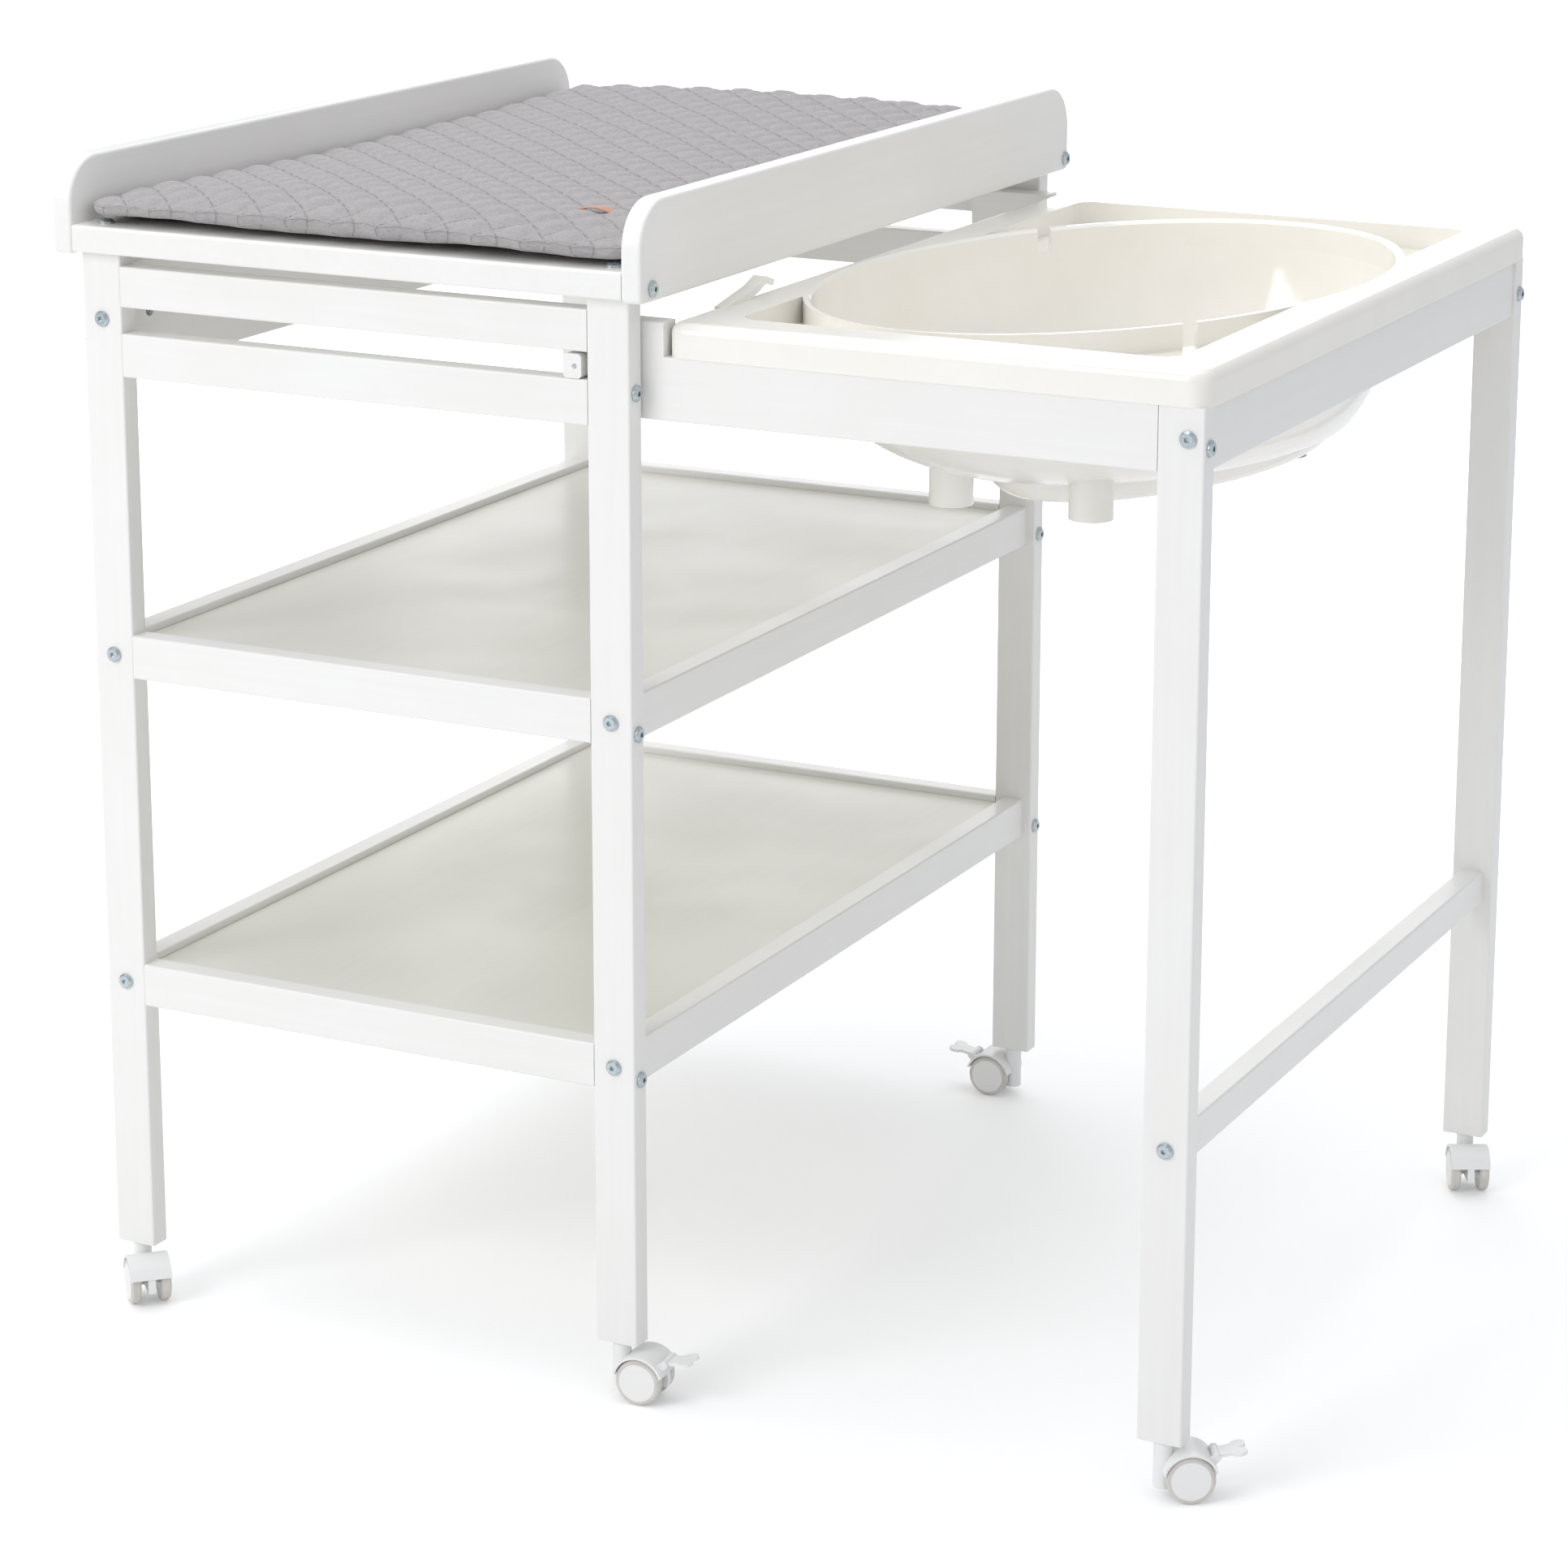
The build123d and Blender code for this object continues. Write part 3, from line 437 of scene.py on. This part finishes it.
def padTop(x, y, puff):
    # Height of the pad's top over the changing board
    low, high = padBox
    along = y - low[1]
    share = (x - low[0]) / (high[0] - low[0])
    full = interpolate(padProfile, along) + padCrown * 4 * share * (1 - share)
    edge = min(x - low[0], high[0] - x, y - low[1], high[1] - y)
    near = max(0.0, 1 - edge / pad["edge"])
    rise = (1 - near ** pad["power"]) ** (1 / pad["power"])
    seam = pad["seam"] + interpolate(padLift, along) * 0.5
    swell = (puff - 0.6) * pad["puff"] * (0.1 + 0.9 * rise)
    soft = 0.0012 * noise.noise(Vector((x * 18, y * 14, 3.0)))
    return seam + (full - seam) * rise + (swell + soft) * min(1.0, rise * 2)


def stitched(column, row):
    # Whether a grid point lies on a quilting line
    a = column - pad["columns"] // 2
    b = row - pad["rows"] // 2
    return (a + b) % pad["cells"] == 0 or (a - b) % pad["cells"] == 0


def swellCloth(obj, pinned):
    # The cover swells between its stitches, by a short cloth simulation
    group = obj.vertex_groups.new(name="stitches")
    group.add(pinned, 1.0, "REPLACE")
    cloth = obj.modifiers.new("swell", "CLOTH")
    settings = cloth.settings
    settings.vertex_group_mass = "stitches"
    settings.quality = 5
    settings.mass = 0.15
    settings.tension_stiffness = 25
    settings.compression_stiffness = 8
    settings.shear_stiffness = 8
    settings.bending_stiffness = 0.02
    settings.shrink_min = pad["grow"]
    settings.use_pressure = True
    settings.uniform_pressure_force = pad["pressure"]
    settings.effector_weights.gravity = 0
    cloth.collision_settings.use_collision = False
    scene = bpy.context.scene
    for number in range(1, pad["frames"] + 1):
        scene.frame_set(number)
    graph = bpy.context.evaluated_depsgraph_get()
    swollen = [v.co.copy() for v in obj.evaluated_get(graph).data.vertices]
    obj.modifiers.clear()
    obj.vertex_groups.clear()
    scene.frame_set(1)
    return swollen


def padLoop(columns, rows):
    # The grid points round the pad's edge, in order
    loop = list(range(columns))
    loop += [row * columns + columns - 1 for row in range(1, rows)]
    loop += [(rows - 1) * columns + column for column in range(columns - 2, -1, -1)]
    loop += [row * columns for row in range(rows - 2, 0, -1)]
    return loop


def heldNear(start, place):
    # A point of the swollen cover, kept near its start
    start = Vector(start)
    move = place - start
    if move.length > pad["mostMove"]:
        move = move.normalized() * pad["mostMove"]
    return tuple(start + move)


def inward(value, low, high):
    # The way to the pad's middle from a place near one of its edges, and 0 elsewhere
    middle = (low + high) / 2
    if abs(value - middle) <= (high - low) / 2 - pad["turnedEdge"]:
        return 0
    return math.copysign(1, middle - value)


def sideRing(loop, verts, boardTop, inset, drop):
    # One ring of the pad's side, whose lower part hangs in soft folds where the pad rides off the board
    low, high = padBox
    ring = []
    for place, index in enumerate(loop):
        x, y, z = verts[index]
        lift = interpolate(padLift, y - low[1])
        wave = (0.5 + 0.5 * math.sin(place * pad["foldPace"])) ** 3
        fold = pad["foldTall"] * wave * (lift > pad["foldFrom"])
        base = lift + fold if drop >= padRings[2][1] else lift
        height = z - boardTop
        swell = pad["sideSwell"] * math.sin(place * pad["sidePace"]) * (drop <= padRings[1][1])
        moveX = inward(x, low[0], high[0]) * (inset - swell)
        moveY = inward(y, low[1], high[1]) * (inset - swell)
        ring.append(len(verts))
        verts.append((x + moveX, y + moveY, boardTop + height + (base - height) * drop))
    return ring


def makePad(material):
    # The changing pad: a quilted top, a stitched edge and a softly folded underside
    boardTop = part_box("changing_top")[1][2]
    columns, rows = pad["columns"] + 1, pad["rows"] + 1
    verts, faces, pinned = [], [], []
    for row in range(rows):
        for column in range(columns):
            x, y = padOutline(column, row)
            verts.append((x, y, boardTop + padTop(x, y, quiltPuff(column, row))))
            rim = column in (0, columns - 1) or row in (0, rows - 1)
            if rim or stitched(column, row):
                pinned.append(len(verts) - 1)
    for row in range(rows - 1):
        for column in range(columns - 1):
            first = row * columns + column
            faces.append((first, first + 1, first + columns + 1, first + columns))
    cover = meshObject("changingPadCover", verts, faces, material)
    swollen = swellCloth(cover, pinned)
    verts = [heldNear(start, place) for start, place in zip(verts, swollen)]
    bpy.data.objects.remove(cover)
    loop = padLoop(columns, rows)
    edge = [Vector(verts[index]) for index in loop]
    rings = [loop] + [sideRing(loop, verts, boardTop, inset, drop) for inset, drop in padRings]
    for upper, lower in zip(rings, rings[1:]):
        for i in range(len(loop)):
            j = (i + 1) % len(loop)
            faces.append((upper[i], lower[i], lower[j], upper[j]))
    faces.append(tuple(reversed(rings[-1])))
    body = meshObject("changingPadQuilt", verts, faces, material)
    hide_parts("changing_pad")
    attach(body, "pad")
    makeEdgeStitch(edge, material)
    print("pad", len(body.data.vertices))


def makeEdgeStitch(edge, material):
    # The narrow sewn edge where the top meets the underside, as a fine corded seam
    curve = bpy.data.curves.new("padEdgeSeam", "CURVE")
    curve.dimensions = "3D"
    curve.bevel_depth = pad["cordRadius"]
    curve.bevel_resolution = 1
    spline = curve.splines.new("POLY")
    spline.points.add(len(edge) - 1)
    for point, place in zip(spline.points, edge):
        point.co = (place.x, place.y, place.z - pad["cordDrop"], 1)
    spline.use_cyclic_u = True
    cord = bpy.data.objects.new("padEdgeSeamCurve", curve)
    bpy.context.collection.objects.link(cord)
    graph = bpy.context.evaluated_depsgraph_get()
    mesh = bpy.data.meshes.new_from_object(cord.evaluated_get(graph))
    bpy.data.objects.remove(cord)
    seam = bpy.data.objects.new("padEdgeSeam", mesh)
    bpy.context.collection.objects.link(seam)
    useMaterial(seam, material)
    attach(seam, "pad")


def makeTag(material):
    # The leather tag: a strip folded on itself, sewn down at one end
    low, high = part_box("pad_tag")
    steps = tag["steps"]
    verts, faces = [], []
    for i in range(steps + 1):
        share = i / steps
        lift = tag["lift"] * math.sin(math.pi * min(1.0, share * 1.15)) ** 1.2 + tag["gap"]
        droop = tag["droop"] * math.sin(share * 9.0)
        x = low[0] + share * (high[0] - low[0])
        for side in (0, 1):
            y = low[1] + side * (high[1] - low[1]) + droop * 0.3
            verts.append((x, y, low[2] + lift))
            verts.append((x, y, low[2] + lift + tag["thick"]))
    for i in range(steps):
        a = i * 4
        b = a + 4
        faces += [(a, b, b + 2, a + 2), (a + 1, a + 3, b + 3, b + 1)]
        faces += [(a, a + 1, b + 1, b), (a + 2, b + 2, b + 3, a + 3)]
    last = steps * 4
    faces += [(0, 2, 3, 1), (last, last + 1, last + 3, last + 2)]
    strip = meshObject("padLeatherTag", verts, faces, material)
    bevel = strip.modifiers.new("edge", "BEVEL")
    bevel.width = tag["round"]
    bevel.segments = 2
    applied(strip)
    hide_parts("pad_tag")
    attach(strip, "pad")


def softenEdges():
    # Fine rounding on the tub's lip and the trays, as a moulding has
    tub = nodes["bathtub"]
    bevel = tub.modifiers.new("lipRounding", "BEVEL")
    bevel.width = lipRound
    bevel.segments = 3
    bevel.limit_method = "ANGLE"
    bevel.angle_limit = math.radians(lipAngle)


def floorMaterial():
    # Pale studio floor that fades into the white background away from the object
    material, tree, shader = newMaterial("studioFloor", "FFFFFF", 0.9, Emission_Color=(1.0, 1.0, 1.0, 1.0))
    speck = noiseOf(tree, objectPlace(tree), 3.0, 1.0)
    tree.links.new(mixColour(tree, speck, "FDFDFD", "FFFFFF"), shader.inputs["Base Color"])
    place = addNode(tree, "ShaderNodeTexCoord")
    far = addNode(tree, "ShaderNodeVectorMath", {0: place.outputs["Object"]}, operation="LENGTH")
    path = addNode(tree, "ShaderNodeLightPath")
    glow = mapRange(tree, far.outputs["Value"], 0.7, 3.0, 0.17, 1.0)
    seen = math2(tree, "MULTIPLY", glow, path.outputs["Is Camera Ray"])
    tree.links.new(seen, shader.inputs["Emission Strength"])
    return material


def makeStage():
    # Pale floor, soft lights and a white world behind the object
    corners = [(x * floorReach, y * floorReach, 0) for x, y in ((-1, -1), (1, -1), (1, 1), (-1, 1))]
    floor = meshObject("studioFloorPlane", corners, [(0, 1, 2, 3)], floorMaterial(), False)
    floor.location.z = -floorDrop
    world = bpy.data.worlds.new("studio")
    bpy.context.scene.world = world
    world.use_nodes = True
    tree = world.node_tree
    back = tree.nodes["Background"]
    back.inputs["Color"].default_value = (0.93, 0.95, 1.0, 1.0)
    back.inputs["Strength"].default_value = 0.63
    shown = addNode(tree, "ShaderNodeBackground", {"Color": (1.0, 1.0, 1.0, 1.0), "Strength": 1.6})
    path = addNode(tree, "ShaderNodeLightPath")
    mix = addNode(tree, "ShaderNodeMixShader", {1: back.outputs[0], 2: shown.outputs[0]})
    seen = math2(tree, "MAXIMUM", path.outputs["Is Camera Ray"], path.outputs["Is Transmission Ray"])
    tree.links.new(seen, mix.inputs[0])
    tree.links.new(mix.outputs[0], tree.nodes["World Output"].inputs["Surface"])
    for name, (place, target, width, power) in lamps.items():
        data = bpy.data.lights.new(name, "AREA")
        data.size = width
        data.energy = power
        lamp = bpy.data.objects.new(name, data)
        aim = Vector(target) - Vector(place)
        lamp.matrix_world = Matrix.Translation(place) @ aim.to_track_quat("-Z", "Y").to_matrix().to_4x4()
        bpy.context.collection.objects.link(lamp)


def makeCamera():
    # The camera at the photograph's viewing angle
    data = bpy.data.cameras.new("photoView")
    data.sensor_width = camera["sensor"]
    data.lens = camera["focal"] / photoSize * camera["sensor"]
    data.shift_x = (photoSize / 2 - camera["middle"][0]) / photoSize
    data.shift_y = (camera["middle"][1] - photoSize / 2) / photoSize
    obj = bpy.data.objects.new("photoView", data)
    obj.location = camera["place"]
    obj.rotation_euler = [math.radians(angle) for angle in camera["turn"]]
    bpy.context.collection.objects.link(obj)
    bpy.context.scene.camera = obj


dressNodes()
softenEdges()
print("nodes dressed")
makePad(quilting())
makeTag(leather())
print("pad and tag made")
makeStage()
makeCamera()
bpy.context.scene.view_settings.view_transform = "Standard"
